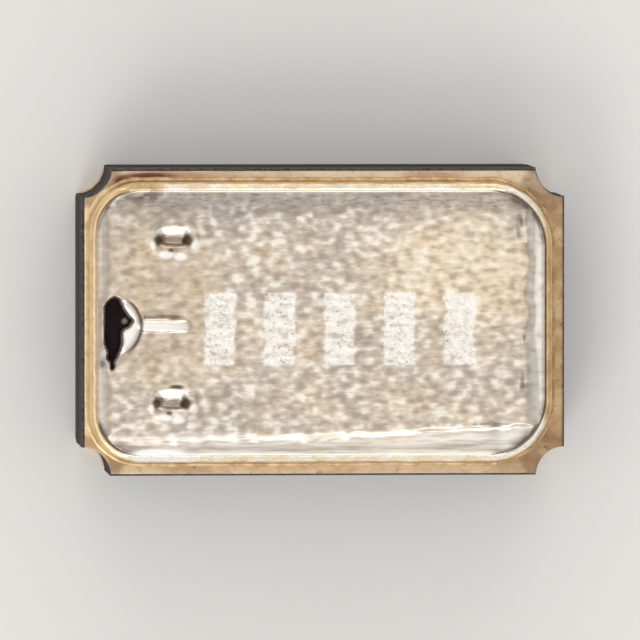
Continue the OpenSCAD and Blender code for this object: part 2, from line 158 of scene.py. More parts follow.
class Shell:
    """Points and faces of a piece, in millimetres."""

    def __init__(self):
        self.points, self.faces, self.marks = [], [], {}
        self.count = 0

    def add(self, flat, height, **marks):
        """Adds points and returns their numbers. Marks are values that a finish reads at each point."""
        flat = np.asarray(flat, float)
        height = np.broadcast_to(height, len(flat))
        first, self.count = self.count, self.count + len(flat)
        self.points.append(np.column_stack([flat, height]))
        for name in marks:
            self.marks.setdefault(name, []).append((first, np.broadcast_to(marks[name], len(flat))))
        return np.arange(first, self.count)

    def skirt(self, below, above):
        """Band of faces between two closed loops of as many points."""
        self.faces += np.stack([below, np.roll(below, -1), np.roll(above, -1), above], 1).tolist()

    def strip(self, below, above):
        """Band of faces between two open rows of as many points."""
        self.faces += np.stack([below[:-1], below[1:], above[1:], above[:-1]], 1).tolist()

    def cap(self, loop):
        """One face inside a closed loop."""
        self.faces.append(loop.tolist())

    def stack(self, loops):
        """Bands of faces from each closed loop to the next."""
        for below, above in zip(loops, loops[1:]):
            self.skirt(below, above)


def placed(name, data):
    """Object in the scene that shows the data."""
    thing = bpy.data.objects.new(name, data)
    bpy.context.scene.collection.objects.link(thing)
    return thing


def shell_mesh(name, shell, finish):
    """Mesh of a shell, with the shell's marks as attributes."""
    mesh = bpy.data.meshes.new(name)
    points = np.vstack(shell.points)
    mesh.from_pydata(points * MM, [], shell.faces)
    for mark, stretches in shell.marks.items():
        values = np.zeros(len(points), np.float32)
        for first, part in stretches:
            values[first:first + len(part)] = part
        mesh.attributes.new(mark, "FLOAT", "POINT").data.foreach_set("value", values)
    mesh.materials.append(finish)
    return mesh


def make_piece(name, shell, finish, nodes, sharp=40):
    """Piece that takes the place of its nodes' solids. Edges over sharp degrees stay crisp."""
    mesh = shell_mesh(name, shell, finish)
    piece = placed(name, mesh)
    work = bmesh.new()
    work.from_mesh(mesh)
    bmesh.ops.recalc_face_normals(work, faces=work.faces)
    work.to_mesh(mesh)
    work.free()
    mesh.shade_smooth()
    mesh.set_sharp_from_angle(angle=math.radians(sharp))
    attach(piece, "root")
    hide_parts(*nodes)


# Material tools

class Link:
    """An output in a finish's nodes. Arithmetic on it adds Math nodes."""

    def __init__(self, finish, socket):
        self.finish, self.socket = finish, socket

    def math(self, operation, *values):
        return self.finish.node("ShaderNodeMath", {"operation": operation}, dict(enumerate(values)))

    def __add__(self, other):
        return self.math("ADD", self, other)

    def __radd__(self, other):
        return self.math("ADD", other, self)

    def __sub__(self, other):
        return self.math("SUBTRACT", self, other)

    def __rsub__(self, other):
        return self.math("SUBTRACT", other, self)

    def __mul__(self, other):
        return self.math("MULTIPLY", self, other)

    def __rmul__(self, other):
        return self.math("MULTIPLY", other, self)

    def lowest(self, other):
        return self.math("MINIMUM", self, other)

    def highest(self, other):
        return self.math("MAXIMUM", self, other)


class Finish:
    """A surface finish. Its nodes read places in millimetres."""

    def __init__(self, name):
        self.material = bpy.data.materials.new(name)
        self.material.use_nodes = True
        self.tree = self.material.node_tree
        self.tree.nodes.clear()
        metres = self.node("ShaderNodeTexCoord", output="Object")
        self.place = self.scaled(metres, 1 / MM)

    def node(self, kind, settings=None, values=None, output=0):
        """Adds a node, sets it up, fills its sockets with values or links, and returns one output."""
        made = self.tree.nodes.new(kind)
        for key, value in (settings or {}).items():
            setattr(made, key, value)
        sockets = [s for s in made.inputs if s.enabled]
        for key, value in (values or {}).items():
            socket = sockets[key] if isinstance(key, int) else next(s for s in sockets if s.name == key)
            if isinstance(value, Link):
                self.tree.links.new(value.socket, socket)
            elif isinstance(value, tuple) and len(value) == 3 and socket.type == "RGBA":
                socket.default_value = (*value, 1)
            else:
                socket.default_value = value
        if output is None:
            return None
        found = [s for s in made.outputs if s.enabled]
        return Link(self, found[output] if isinstance(output, int) else made.outputs[output])

    def vector(self, operation, *values, output="Vector"):
        return self.node("ShaderNodeVectorMath", {"operation": operation}, dict(enumerate(values)), output)

    def scaled(self, where, by):
        by = (by, by, by) if isinstance(by, (int, float)) else by
        return self.vector("MULTIPLY", where, by)

    def in_grains(self, size, shift):
        """Place counted in grains of a size, which may differ along X, Y and Z."""
        size = (size, size, size) if isinstance(size, (int, float)) else size
        return self.vector("ADD", self.scaled(self.place, tuple(1 / s for s in size)), (shift, shift, shift))

    def axis(self, which):
        return self.node("ShaderNodeSeparateXYZ", values={0: self.place}, output=which)

    def mark(self, name):
        return self.node("ShaderNodeAttribute", {"attribute_name": name}, output="Fac")

    def noise(self, size, detail=2.0, rough=0.5, twist=0.0, shift=0.0):
        """Noise from 0 to 1 whose grains are about as wide as size."""
        values = {"Vector": self.in_grains(size, shift), "Scale": 1.0, "Detail": detail, "Roughness": rough,
                  "Distortion": twist}
        return self.node("ShaderNodeTexNoise", {"noise_dimensions": "3D"}, values)

    def to_dots(self, size, shift=0.0):
        """Distance to the nearest of scattered dots, in grains of a size."""
        values = {"Vector": self.in_grains(size, shift), "Scale": 1.0}
        return self.node("ShaderNodeTexVoronoi", {"feature": "F1"}, values, "Distance")

    def between(self, value, low, high, to_low=0.0, to_high=1.0):
        """Soft step: to_low where the value is under low, to_high where it is over high."""
        values = {"Value": value, "From Min": low, "From Max": high, "To Min": to_low, "To Max": to_high}
        return self.node("ShaderNodeMapRange", {"interpolation_type": "SMOOTHSTEP"}, values)

    def patch(self, centre, reach, inner=0.3):
        """Soft spot: 1 at the centre, 0 past the reach, which may differ along X and Y."""
        reach_x, reach_y = np.broadcast_to(reach, 2)
        moved = self.vector("SUBTRACT", self.place, (*centre, 0))
        moved = self.scaled(moved, (1 / reach_x, 1 / reach_y, 0))
        return self.between(self.vector("LENGTH", moved, output="Value"), inner, 1, 1, 0)

    def mix(self, mask, off, on):
        """Colour off where the mask is 0 and on where it is 1."""
        return self.node("ShaderNodeMix", {"data_type": "RGBA"}, {"Factor": mask, "A": off, "B": on})

    def layered(self, colour, layers):
        """Colour under layers. Each layer is a mask and the colour that it brings."""
        for mask, over in layers:
            colour = self.mix(mask, colour, over)
        return colour

    def bump(self, height, depth, normal=None):
        """Relief whose height of 1 stands for depth, in microns."""
        values = {"Height": height, "Distance": depth * MICRON, "Strength": 1.0}
        if normal is not None:
            values["Normal"] = normal
        return self.node("ShaderNodeBump", values=values)

    def done(self, **values):
        """The finished material. Values are named like the shader's sockets."""
        names = {key.replace("_", " ").title().replace("Ior", "IOR"): value for key, value in values.items()}
        shader = self.node("ShaderNodeBsdfPrincipled", values=names)
        self.node("ShaderNodeOutputMaterial", values={"Surface": shader}, output=None)
        return self.material


# Finishes

def fired_ceramic():
    """Black-brown alumina with pale grains, faint layer lines, rubbed edges, and painted light along the top
    of the +Y wall.
    """
    f = Finish("fired_ceramic")
    grain = f.noise(0.012, 4, 0.65)
    cloud = f.noise(0.12, 3, 0.6, shift=4)
    specks = f.between(f.to_dots(0.018, shift=2), 0.22, 0.05)
    # Painted light: the top of the wall on the +Y side is painted lighter.
    painted_light_far_edge = f.between(f.axis("Y"), 0.67, 0.69) * f.between(f.axis("Z"), 0.58, 0.64)
    colour = f.mix(f.between(grain, 0.35, 0.7), (0.007, 0.0048, 0.0052), (0.020, 0.014, 0.0145))
    colour = f.layered(colour, [
        (f.between(cloud, 0.4, 0.75) * 0.5, (0.020, 0.012, 0.010)),
        (specks * 0.3, (0.07, 0.058, 0.055)),
        (f.mark("worn") * f.between(grain, 0.3, 0.6) * 0.8, (0.15, 0.12, 0.115)),
        (painted_light_far_edge * f.between(grain, 0.25, 0.6) * 0.5, (0.13, 0.095, 0.085)),
        (f.mark("seam") * 0.6, (0.012, 0.010, 0.010))])
    relief = f.bump(f.noise(0.006, 3, 0.6, shift=7), 0.9, f.bump(cloud, 2.5))
    return f.done(base_color=colour, roughness=f.between(grain, 0.2, 0.8, 0.52, 0.74), normal=relief,
                  specular_ior_level=0.22)


def plated_gold(name, stained, dull=0.0):
    """Matt gold over sintered metal, with grain, pin marks and brown stains, and painted light and shade on
    its ends and sides.
    """
    f = Finish(name)
    grain = f.noise(0.010, 3, 0.6)
    cloud = f.noise((0.16, 0.10, 0.16), 3, 0.6, shift=3)
    colour = f.mix(f.between(cloud, 0.38, 0.62), (0.45, 0.30, 0.165), (0.74, 0.56, 0.37))
    # Painted light at the vent end (-X) and on the +Y side, painted shade at the +X end, and a painted sheen
    # on the -Y side.
    painted_light_at_vent_end = f.between(f.axis("X"), -0.95, -1.03) * f.between(cloud, 0.3, 0.6, 0.6, 0.95)
    layers = [
        (painted_light_at_vent_end, (0.88, 0.65, 0.39)),
        (f.between(f.axis("Y"), 0.60, 0.64) * 0.50, (0.88, 0.72, 0.52)),
        (f.between(f.axis("X"), 0.99, 1.06) * 0.45, (0.43, 0.27, 0.125)),
        (f.between(f.axis("Y"), -0.63, -0.66) * 0.4, (0.55, 0.44, 0.32)),
        (f.between(grain, 0.55, 0.8) * 0.6, (0.84, 0.68, 0.46)),
        (f.between(grain, 0.42, 0.22) * 0.55, (0.26, 0.14, 0.06))]
    rough = f.between(grain, 0.2, 0.8, 0.30 + dull, 0.52 + dull)
    if stained:
        blotch = f.noise(0.045, 4, 0.7, shift=9)
        brown = f.between(blotch, 0.56, 0.72)
        near_corner = f.between(f.mark("corner") + 0.5 * blotch, 0.5, 1.0)
        stain = f.patch((-0.915, 0.640), (0.055, 0.034)) + f.patch((-0.79, 0.664), (0.17, 0.021))
        stain = stain.lowest(1.0) * f.between(blotch, 0.2, 0.45)
        wash = f.patch((-0.70, 0.662), (0.34, 0.034)) * 0.7 + f.patch((0.50, 0.664), (0.20, 0.028)) * 0.6
        layers += [
            (brown * 0.6 + near_corner * 0.5, (0.20, 0.105, 0.055)),
            (wash.lowest(1.0) * f.between(cloud, 0.30, 0.60, 0.5, 1.0), (0.42, 0.19, 0.11)),
            (stain * 0.9, (0.13, 0.040, 0.024))]
    colour = f.layered(colour, layers)
    relief = f.bump(f.noise(0.007, 3, 0.6, shift=5), 0.7, f.bump(f.noise(0.04, 2, shift=6), 1.6))
    return f.done(base_color=colour, metallic=1.0, roughness=rough, normal=relief)


def welded_gold():
    """Gold of the ring, fused into the lid's nickel along the weld, pulse by pulse, with painted light at the
    vent end, a painted glint on the -Y side and painted shadow in the crevice beside the lid.
    """
    f = Finish("welded_gold")
    pulses = f.noise((0.050, 0.050, 0.05), 0.5, 0.4, shift=14)
    grain = f.noise(0.009, 3, 0.6, shift=1)
    cloud = f.noise(0.09, 3, 0.65, shift=8)
    colour = f.mix(f.between(cloud, 0.3, 0.7), (0.58, 0.37, 0.17), (0.80, 0.60, 0.35))
    cream = f.mix(f.between(pulses, 0.40, 0.62), (0.99, 0.85, 0.61), (1.0, 0.96, 0.85))
    # Painted light at the vent end (-X).
    painted_light_at_vent_end = f.between(f.axis("X"), -0.88, -0.97) * f.between(cloud, 0.3, 0.6, 0.45, 0.85)
    # Painted glint on the weld metal along the -Y side near the vent end.
    painted_glint = f.between(f.axis("X"), -0.88, -0.85) * f.between(f.axis("X"), -0.60, -0.64)
    painted_glint = painted_glint * f.between(f.axis("Y"), -0.4, -0.5) * f.mark("melt")
    colour = f.layered(colour, [
        (painted_light_at_vent_end, (0.93, 0.70, 0.42)),
        (f.mark("melt") * f.between(cloud, 0.25, 0.55, 0.75, 1.0), cream),
        (painted_glint * 0.9, (1.0, 0.99, 0.95)),
        (f.between(grain, 0.40, 0.22) * 0.5, (0.30, 0.18, 0.09)),
        # Painted shadow in the crevice between the ring and the lid's edge.
        (f.mark("crevice"), (0.05, 0.035, 0.028))])
    rough = f.between(grain, 0.2, 0.8, 0.22, 0.46)
    relief = f.bump(grain, 0.8, f.bump(cloud, 2.0, f.bump(pulses, 2.5)))
    return f.done(base_color=colour, metallic=1.0, roughness=rough, normal=relief)


def plated_nickel():
    """Satin nickel of the lid: rolled flecks with painted highlights, burnished tracks with painted light on
    the bottom one and painted shade on the top one, molten vent, soot, frosted marks, and painted highlights
    and shade round the rib, punch marks and edges.
    """
    f = Finish("plated_nickel")
    flecks = f.noise((0.060, 0.035, 0.05), 1.0, 0.45)
    blobs = f.noise((0.038, 0.029, 0.03), 0.5, 0.4, shift=12)
    streaks = f.noise((0.036, 0.010, 0.03), 1.0, 0.5, twist=0.35, shift=19)
    specks = f.noise((0.016, 0.009, 0.02), 2, 0.6, shift=17)
    cloud = f.noise((0.22, 0.16, 0.2), 3, 0.6, shift=21)
    track, shady, end_track = f.mark("track"), f.mark("shady_track"), f.mark("end_track")
    frost = f.mark("frost") * f.between(specks, 0.28, 0.5)
    melted, soot = f.mark("melted"), f.mark("soot")
    warm = f.between(cloud, 0.38, 0.66)
    warm = warm * 0.5 + f.patch((0.62, 0.26), (0.52, 0.34)) * 0.7 + f.patch((-0.83, 0.30), (0.09, 0.24)) * 0.9
    warm = warm + f.patch((-0.72, 0.0), (0.30, 0.55)) * 0.4
    cool = f.patch((-0.45, 0.52), (0.9, 0.22)) * 0.6 + f.patch((-0.6, -0.42), (0.5, 0.26)) * 0.45
    colour = f.mix(warm.lowest(1.0), (0.58, 0.50, 0.425), (0.76, 0.61, 0.43))
    plain = 1 - (track + end_track).lowest(1.0) * 0.7
    quiet = f.patch((-0.80, 0.16), (0.42, 0.62), 0.45)
    grainy = flecks * 0.38 + blobs * 0.44 + streaks * 0.18
    pin_marks = f.between(specks, 0.34, 0.24) * plain
    # The bright flecks are painted highlights on the grain, weaker on the top track, which is painted in
    # shade.
    bright = f.between(grainy, 0.465, 0.67) * plain * (1 - shady * 0.4) * (1 - quiet * 0.5)
    rolled = f.noise((0.16, 0.013, 0.1), 2, 0.5, shift=30)
    rolled_end = f.noise((0.013, 0.16, 0.1), 2, 0.5, shift=33)
    end_share = f.between(f.axis("X"), -0.2, 0.2, 0.35, 0.85)
    streak = end_track * f.between(rolled_end, 0.25, 0.75, 0.6, 1.0) * end_share
    streak = (track * f.between(rolled, 0.32, 0.62) + streak).lowest(1.0)
    mottled = end_track * f.between(f.axis("X"), -0.2, 0.2, 0.5, 1.0)
    colour = f.layered(colour, [
        (cool.lowest(1.0), (0.46, 0.43, 0.385)),
        (f.patch((0.62, 0.28), (0.46, 0.32)) * 0.40, (0.90, 0.79, 0.62)),
        (quiet * 0.45, (0.50, 0.40, 0.30)),
        (f.between(grainy, 0.50, 0.34) * plain * 0.50, (0.29, 0.22, 0.165)),
        (pin_marks * 0.5, (0.16, 0.11, 0.08)),
        # Painted highlights on the flecks.
        (bright * 0.84, (0.98, 0.92, 0.80)),
        # Painted shade on the top track, with darker streaks.
        (shady * 0.3, (0.38, 0.355, 0.32)),
        (shady * f.between(streaks, 0.44, 0.32) * 0.45, (0.20, 0.16, 0.13)),
        # Burnish streaks on the tracks; on the sunny bottom track their lighter colour is also painted light.
        (streak * 0.85, (0.92, 0.88, 0.80)),
        (mottled * f.between(grainy, 0.49, 0.36) * 0.36, (0.33, 0.31, 0.28)),
        (mottled * f.between(grainy, 0.53, 0.66) * 0.5, (0.98, 0.95, 0.90)),
        # Dark dots, and painted shade along the -Y edge.
        (f.mark("grime_and_shade") * 0.75, (0.30, 0.26, 0.22)),
        (f.mark("weld"), (0.95, 0.88, 0.74)),
        (frost * 0.9, (1.0, 0.985, 0.95)),
        # Molten metal, and painted highlights.
        (melted * 0.9, (0.97, 0.94, 0.89)),
        # Scorch, and painted shade and shadow.
        (f.mark("scorch_and_shade") * 0.92, (0.09, 0.055, 0.038)),
        (soot, (0.012, 0.006, 0.007))])
    rough = f.between(flecks, 0.25, 0.75, 0.42, 0.30) - streak * 0.06 + frost * 0.18
    rough = rough * (1 - melted * 0.7) + melted * 0.7 * 0.3
    rough = rough * (1 - soot) + soot * 0.7
    relief = f.bump(grainy * plain, 2.4, f.bump(cloud, 3.0))
    relief = f.bump(streak * 0.5 + frost * specks, 0.8, relief)
    return f.done(base_color=colour, metallic=1 - soot, roughness=rough.highest(0.12), normal=relief,
                  specular_ior_level=0.12)


def braze_metal():
    """Braze under thin gold, duller where it froze slowly."""
    f = Finish("braze_metal")
    cloud = f.noise(0.06, 3, 0.65)
    grain = f.noise(0.010, 3, 0.6, shift=3)
    colour = f.mix(f.between(cloud, 0.35, 0.65), (0.46, 0.28, 0.125), (0.66, 0.47, 0.26))
    # Painted light at the vent end (-X).
    painted_light_at_vent_end = f.between(f.axis("X"), -0.92, -1.0) * f.between(cloud, 0.3, 0.6, 0.5, 0.9)
    colour = f.layered(colour, [
        (painted_light_at_vent_end, (0.94, 0.71, 0.42)),
        (f.between(grain, 0.40, 0.22) * 0.5, (0.24, 0.13, 0.06))])
    rough = f.between(grain, 0.2, 0.8, 0.38, 0.52)
    relief = f.bump(grain, 0.8, f.bump(cloud, 2.0))
    return f.done(base_color=colour, metallic=1.0, roughness=rough, normal=relief)


def inner_finish(name, dark, light, metallic, low_rough, high_rough, size=0.01, **more):
    """Fine-grained finish of a piece inside the housing."""
    f = Finish(name)
    grain = f.noise(size, 3, 0.6)
    colour = f.mix(f.between(grain, 0.3, 0.7), dark, light)
    rough = f.between(grain, 0.2, 0.8, low_rough, high_rough)
    relief = f.bump(grain, 0.4)
    return f.done(base_color=colour, metallic=metallic, roughness=rough, normal=relief, **more)


ceramic = fired_ceramic()
rim_gold = plated_gold("rim_gold", stained=True)
terminal_gold = plated_gold("terminal_gold", stained=False, dull=0.02)
ring_metal = welded_gold()
nickel = plated_nickel()
braze = braze_metal()
tungsten = inner_finish("sintered_tungsten", (0.20, 0.20, 0.21), (0.42, 0.41, 0.40), 1.0, 0.42, 0.6)
pad_gold = inner_finish("inner_gold", (0.70, 0.48, 0.22), (0.92, 0.72, 0.40), 1.0, 0.22, 0.4)
film_gold = inner_finish("electrode_film", (0.82, 0.60, 0.30), (0.95, 0.76, 0.44), 1.0, 0.1, 0.2)
glue = inner_finish("silver_adhesive", (0.42, 0.40, 0.38), (0.68, 0.66, 0.63), 0.6, 0.4, 0.6, size=0.006)
quartz = inner_finish("etched_quartz", (0.86, 0.90, 0.92), (0.96, 0.98, 1.0), 0.0, 0.05, 0.16,
                      transmission_weight=0.85, ior=1.54)
silicon = inner_finish("polished_silicon", (0.07, 0.075, 0.095), (0.11, 0.115, 0.14), 0.4, 0.12, 0.24)


# Ceramic package

WEAR = 0.009
LAYER_LINES = [floor_z, 0.31, shelf_z, 0.53]
LINE_DEPTH, LINE_HALF = 0.003, 0.005
RIPPLE = 0.0016


def package_body():
    """Fired package: outer wall with castellations and layer lines, rim, cavity, shelf and die pit."""
    shell = Shell()
    bottom = body_low[2]
    film_top = node_box("terminal_ground")[1][2]
    # Inset, height, and how much of a rubbed edge and of a layer line is there
    profile = [(WEAR * 1.5, bottom, 0.6, 0), (WEAR * 0.4, bottom + WEAR * 0.25, 1, 0),
               (0, bottom + WEAR, 0.6, 0), (0, film_top, 0, 0), (0, film_top + 0.001, 0, 0)]
    for z in LAYER_LINES:
        profile += [(0, z - 3 * LINE_HALF, 0, 0), (0, z - LINE_HALF, 0, 0), (LINE_DEPTH, z, 0, 1)]
        profile += [(0.001, z + LINE_HALF, 0, 0)]
    profile += [(0, rim_z - WEAR, 0.6, 0), (WEAR * 0.4, rim_z - WEAR * 0.25, 1, 0),
                (WEAR * 1.5, rim_z, 0.5, 0)]
    loops = []
    for inset, z, worn, seam in profile:
        flat, normals = package_loop(inset, film_t if z <= film_top else 0)
        ripple = wander(flat[:, 0] + flat[:, 1], z, (0.03, 0.05), 3) * RIPPLE
        flat = flat - normals * (RIPPLE + ripple)[:, None]
        loops.append(shell.add(flat, z, worn=worn, seam=seam))
    cavity = rounded_loop(body_size - 2 * wall_t, cavity_r)[0]
    pit = rounded_loop((pit_high_x - pit_low_x, pit_w), pit_r, ((pit_low_x + pit_high_x) / 2, 0))[0]
    for flat, z in [(cavity, rim_z), (cavity, shelf_z), (pit, shelf_z), (pit, floor_z)]:
        loops.append(shell.add(flat, z, worn=0, seam=0))
    shell.cap(loops[0][::-1])
    shell.stack(loops)
    shell.cap(loops[-1])
    make_piece("package_body", shell, ceramic, ["ceramic_base"])


# Gold on the rim

PRINT_SHIFT = np.array([0.003, -0.003])
PRINT_EDGE, PRINT_SWAY, PRINT_BACK = 0.004, 0.0022, 0.0005
NOTCH_GAP = 0.4 * seal_inset
STAIN_REACH = 0.1


def corner_nearness(flat):
    """1 at a castellation's wall, 0 well away from it."""
    to_corner = np.hypot(*(body_size / 2 - abs(flat)).T)
    return 1 - eased((to_corner - castellation_r) / STAIN_REACH)


def rim_metal():
    """Printed and plated layer on the rim, with a soft, slightly wandering edge."""
    shell = Shell()
    low, high = gold_low[2], gold_high[2]
    inner = rounded_loop(body_size - 2 * wall_t + 2 * seal_inset, cavity_r + seal_inset)[0]
    loops = []
    for inset, z in [(0.001, low), (0, low + 0.3 * PRINT_EDGE), (0.001, high - 0.6 * PRINT_EDGE),
                     (0.4 * PRINT_EDGE, high - 0.2 * PRINT_EDGE), (PRINT_EDGE, high), (4 * PRINT_EDGE, high)]:
        flat, normals = package_loop(seal_inset + inset, NOTCH_GAP - seal_inset)
        sway = wander(*flat.T, 0.05, 11) * PRINT_SWAY
        flat = flat + normals * (sway - PRINT_BACK)[:, None] + PRINT_SHIFT
        loops.append(shell.add(flat, z, corner=corner_nearness(flat)))
    loops += [shell.add(inner, high, corner=0), shell.add(inner, low, corner=0)]
    shell.stack(loops + loops[:1])
    make_piece("rim_metal", shell, rim_gold, ["seal_metallisation"])


def ring_outline(out):
    """Loop at a distance out from the ring's outline, and its normals."""
    return rounded_loop(ring_size + 2 * out, ring_radii + out, ring_centre)


def on_rim(flat):
    """Draws points in to the edge of the metal on the rim, which the braze doesn't pass."""
    limit = body_size / 2 - seal_inset - PRINT_EDGE
    flat = np.clip(flat, -limit, limit)
    corner = np.sign(flat) * body_size / 2
    away = flat - corner
    far = np.linalg.norm(away, axis=1, keepdims=True)
    least = castellation_r + NOTCH_GAP + PRINT_EDGE
    return np.where(far < least, corner + away * least / far, flat)


def braze_round_ring():
    """Layer under the ring, and the hollow fillet round the ring's foot, which swells and shrinks."""
    shell = Shell()
    low, high = braze_low[2], ring_low[2]
    inner = ring_outline(-ring_band)[0]
    loops = [shell.add(inner, high), shell.add(inner, low)]
    line, normals = ring_outline(0)
    swell = 0.80 + 0.13 * wander(*line.T, 0.09, 21) + 0.07 * wander(*line.T, 0.03, 22)
    for angle in np.radians([0, 14, 28, 45, 62, 76, 90]):
        out = braze_rise * (1 - math.sin(angle)) * swell
        up = braze_rise * (1 - math.cos(angle)) * swell
        loops.append(shell.add(on_rim(line + normals * out[:, None]), low + up))
    loops.append(shell.add(line, high))
    shell.stack(loops + loops[:1])
    make_piece("braze_round_ring", shell, braze, ["ring_braze"], sharp=60)


# Length of a weld pulse, depth of the crevice beside the lid, height of the ramp up to it, and where the
# cream-coloured part of the long side at +Y begins
PULSE, CREVICE, RAMP = 0.062, 0.006, 0.021
CREAM_FROM = -0.77


def weld_ring():
    """Ring under the lid. Overlapping weld pulses left ripples on its shoulder and a ramp up to the lid."""
    shell = Shell()
    low, high = ring_low[2], ring_high[2]
    line, normals = ring_outline(0)
    x, y = line.T
    facing = abs(normals[:, 1])
    side = eased((facing - 0.88) / 0.1)
    bright = eased((facing - np.where(x < 0, 0.80, 0.22)) / 0.2)
    bright = bright * np.where(y > 0, eased((x - CREAM_FROM) / 0.06), 1)
    beat = np.where(side > 0.5, x, y) / PULSE + 0.8 * wander(x, y, 0.14, 31)
    pulse = abs(np.sin(math.pi * beat)) ** 0.7 * (0.6 + 0.4 * wander(x, y, 0.11, 32))
    lump = wander(x, y, 0.045, 33)
    rise = RAMP * (0.82 + 0.10 * lump + 0.08 * pulse) * side
    inner = ring_outline(-ring_band)[0]
    loops = [shell.add(flat, low, melt=0, crevice=0) for flat in (inner, line)]
    for angle in np.radians([0, 15, 30, 45, 60, 75, 90]):
        radius = ring_edge_r * (1 + 0.10 * lump)
        out = radius * (math.cos(angle) - 1) - 0.0010 * (1 - pulse)
        drop = radius * (1 - math.sin(angle)) + 0.0016 * (1 - pulse) * math.sin(angle)
        climb = rise * eased((-out - 0.010) / 0.03)
        melt = eased((math.sin(angle) - 0.62 + 0.12 * lump) / 0.2) * bright
        loops.append(shell.add(line + normals * out[:, None], high - drop + climb, melt=melt, crevice=0))
    for back in [0.8, 0.9, 1.02]:
        climb = rise * eased((lid_margin * back - 0.010) / 0.03)
        gap = (1 - side) * CREVICE * eased((back - 0.75) / 0.2)
        # Painted shadow in the crevice at the ends, and under the lid's edge.
        dark = (1 - side) * eased((back - 0.84) / 0.1) * 0.9
        flat = line - normals * lid_margin * back
        loops.append(shell.add(flat, high + climb - gap, melt=bright, crevice=dark))
    loops.append(shell.add(line - normals * lid_margin * 1.4, high, melt=0, crevice=1))
    loops.append(shell.add(inner, high, melt=0, crevice=0))
    shell.stack(loops + loops[:1])
    make_piece("weld_ring", shell, ring_metal, ["seal_ring"], sharp=70)


# Lid

# Grid pitch, the closer lines of the grid along the lid's edge, and depth and widths of the roller tracks
LID_STEP = 0.0056
EDGE_INSETS = [0, 0.0015, 0.004, 0.0075, 0.012, 0.018]
EDGE_R = 0.012
TRACK_DROP, TRACK_BLEND, TRACK_MOST = 0.022, 2.6, 1.1
BOTTOM_TRACK, TOP_TRACK, LEFT_TRACK, RIGHT_TRACK = 0.112, 0.125, 0.075, 0.088
WAVE_H, FINE_WAVE_H, SAG = 0.0018, 0.0007, 0.003
# Places along X are from the lid's edge at the vent, places along Y from its centre line
VENT_D, VENT_LUMP_H = 0.055, 0.005
BEAD_CENTRE, BEAD_R, BEAD_H = (0.062, -0.012), 0.134, 0.0125
RIB_X = (0.212, 0.40)
RIB_Y, RIB_HALF, RIB_H = -0.014, 0.033, 0.012
MOAT_D, RIB_MOAT_D = 0.004, 0.003
# Middle of each punch mark, and how dark the painted shadow on its far rim is
MARKS = [((0.347, 0.390), 0.25), ((0.339, -0.349), 1.0)]
MARK_SIZE = np.array([0.156, 0.096])
MARK_D, LIP_W, LIP_H = 0.03, 0.044, 0.003
FROST_X, FROST_Y = 0.555, -0.027
FROST_PITCH, FROST_COUNT = 0.272, 5
FROST_W, FROST_TALL = 0.15, 0.34
FROST_D, FROST_GRAIN_H = 0.0018, 0.0012
STREAK_PITCH = 0.043


def spaced(length):
    """Grid lines across a length, closer together near both ends."""
    edge = np.array(EDGE_INSETS)
    count = int((length - 2 * edge[-1]) / LID_STEP)
    middle = np.linspace(edge[-1], length - edge[-1], count + 1)
    return np.concatenate([edge[:-1], middle, length - edge[:-1][::-1]]) - length / 2


def lid_corner_r(x):
    """Corner radius of the lid on the side of x."""
    return np.where(x < 0, *lid_radii)


def rounded_grid():
    """Grid over the lid whose four corner squares are pressed into quarter discs."""
    x, y = np.meshgrid(spaced(lid_l), spaced(lid_w))
    lid_r = lid_corner_r(x)
    over_x = (abs(x) - (lid_l / 2 - lid_r)) / lid_r
    over_y = (abs(y) - (lid_w / 2 - lid_r)) / lid_r
    corner = (over_x > 0) & (over_y > 0)
    far = np.hypot(over_x, over_y)
    press = np.where(corner, np.maximum(over_x, over_y) / np.maximum(far, 1e-9), 1)
    x = np.where(corner, np.sign(x) * (lid_l / 2 - lid_r + lid_r * over_x * press), x)
    y = np.where(corner, np.sign(y) * (lid_w / 2 - lid_r + lid_r * over_y * press), y)
    return x, y


def inset_from_edge(x, y):
    """Distance in from the lid's edge."""
    lid_r = lid_corner_r(x)
    over_x, over_y = abs(x) - (lid_l / 2 - lid_r), abs(y) - (lid_w / 2 - lid_r)
    round_part = lid_r - np.hypot(over_x, over_y)
    straight = lid_r - np.maximum(over_x, over_y)
    return np.maximum(np.where((over_x > 0) & (over_y > 0), round_part, straight), 0)


def track_fall(inset, width, crispness):
    """Share of a roller track's drop at an inset from the lid's edge: a steep inner part, then flatter."""
    t = 1 - inset / width
    return (t > 0) * (0.72 * eased(t / crispness) + 0.28 * np.clip(t, 0, 1))


def roller_tracks(x, y):
    """Tracks that the welding rollers pressed along the sides and the ends, each from 0 to 1."""
    from_left, from_right = x + lid_l / 2, lid_l / 2 - x
    from_bottom, from_top = y + lid_w / 2, lid_w / 2 - y
    sway = wander(x, y, 0.3, 41) * 0.006
    crispness = 0.22 + 0.46 * eased(0.5 - x / lid_l) + 0.13 * wander(x, 0 * y, 0.045, 63)
    bottom = track_fall(from_bottom, BOTTOM_TRACK + 0.04 * eased((x + 0.3) / 1.3) + sway, crispness)
    top = track_fall(from_top, TOP_TRACK + sway, 0.95)
    left = track_fall(from_left, LEFT_TRACK + sway, 0.9)
    ragged = 0.012 * wander(x, y, (0.3, 0.11), 42) + 0.007 * wander(x, y, (0.05, 0.03), 43)
    right = track_fall(from_right, RIGHT_TRACK + sway + ragged, 0.55 + 0.3 * eased(-y / 0.4))
    return bottom, top, left, right


